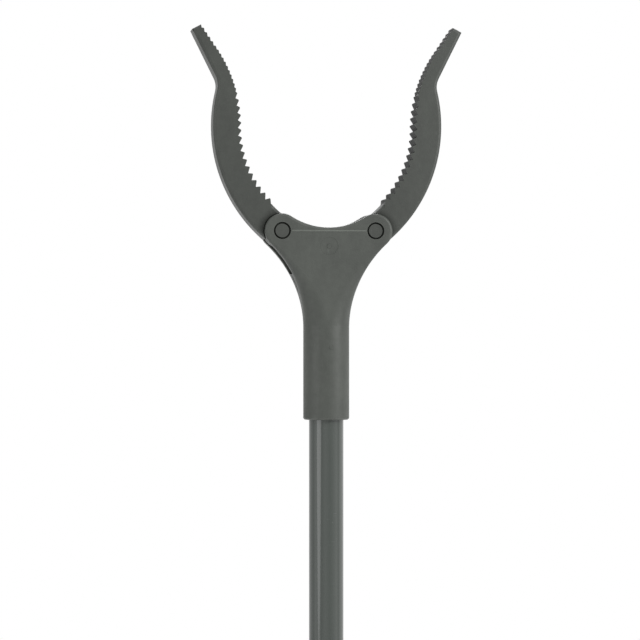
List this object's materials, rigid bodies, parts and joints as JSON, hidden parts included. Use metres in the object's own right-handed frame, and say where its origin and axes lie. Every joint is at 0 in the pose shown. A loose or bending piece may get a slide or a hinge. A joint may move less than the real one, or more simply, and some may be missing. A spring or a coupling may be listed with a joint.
{
  "type": "reacher grabber",
  "caption": "Trigger-operated reaching aid: toothed jaws on a swivelling head, a slim tube and a pistol grip with a hanging hook.",
  "frame": {"origin": "on the tube's axis, halfway along the bare tube between the head's sleeve and the handle", "axes": "+Z along the tube towards the jaws, +X towards the trigger's side, -Y towards the head's front"},
  "size_m": [0.1153, 0.025, 0.7991],
  "materials": {
    "head_plastic": "moulded dark grey plastic with a faint green cast, satin",
    "jaw_plastic": "moulded dark grey plastic, satin, rounded back edge",
    "pin_plastic": "moulded dark grey plastic",
    "handle_plastic": "moulded dark grey plastic, fine texture",
    "trigger_plastic": "moulded orange-red plastic, satin",
    "tube_paint": "gloss dark grey coating on aluminium tube",
    "natural_nylon": "unpigmented nylon",
    "steel": "plain drawn steel",
    "spring_steel": "drawn spring wire",
    "screw_steel": "zinc-plated steel",
    "aluminium_rivet": "plain aluminium"
  },
  "bodies": {
    "frame": {"shaft_tube": "tube_paint", "swivel_plug": "natural_nylon", "plug_rivets": "aluminium_rivet", "rod_guides": "natural_nylon", "handle_shell_front": "handle_plastic", "handle_shell_rear": "handle_plastic", "handle_screws": "screw_steel"},
    "head": {"head_shell_front": "head_plastic", "head_shell_rear": "head_plastic", "head_screws": "screw_steel", "jaw_pin_left": "pin_plastic", "jaw_pin_right": "pin_plastic", "return_spring": "spring_steel"},
    "jaw_left": {"jaw_left": "jaw_plastic", "link_pin_left": "steel"},
    "jaw_right": {"jaw_right": "jaw_plastic", "link_pin_right": "steel"},
    "crosshead": {"crosshead": "natural_nylon"},
    "rod": {"pull_rod": "steel", "rod_nut": "steel", "draw_slider": "natural_nylon", "drive_pin": "steel"},
    "trigger": {"trigger": "trigger_plastic"}
  },
  "joints": [
    {"name": "trigger_squeeze", "type": "hinge", "parent": "frame", "child": "trigger", "pos_m": [0.0147, 0, -0.3038], "axis": [0, 1, 0], "range_deg": [0, 14.5]},
    {"name": "rod_draw", "type": "slide", "parent": "frame", "child": "rod", "axis": [0, 0, -1], "range_m": [0, 0.0042]},
    {"name": "head_swivel", "type": "hinge", "parent": "frame", "child": "head", "pos_m": [0, 0, 0.2862], "axis": [0, 0, 1], "range_deg": [0, 90]},
    {"name": "crosshead_slide", "type": "slide", "parent": "head", "child": "crosshead", "axis": [0, 0, -1], "range_m": [0, 0.0042], "deforming": ["return_spring"]},
    {"name": "jaw_left_close", "type": "hinge", "parent": "head", "child": "jaw_left", "pos_m": [-0.0172, 0, 0.3262], "axis": [0, 1, 0], "range_deg": [0, 33.5]},
    {"name": "jaw_right_close", "type": "hinge", "parent": "head", "child": "jaw_right", "pos_m": [0.0172, 0, 0.3262], "axis": [0, -1, 0], "range_deg": [0, 33.5]}
  ],
  "couplings": [
    {"joint": "rod_draw", "follows": "trigger_squeeze", "m_per_rad": 0.016588},
    {"joint": "crosshead_slide", "follows": "trigger_squeeze", "m_per_rad": 0.016588},
    {"joint": "jaw_left_close", "follows": "trigger_squeeze", "ratio": 2.3104},
    {"joint": "jaw_right_close", "follows": "trigger_squeeze", "ratio": 2.3104}
  ]
}
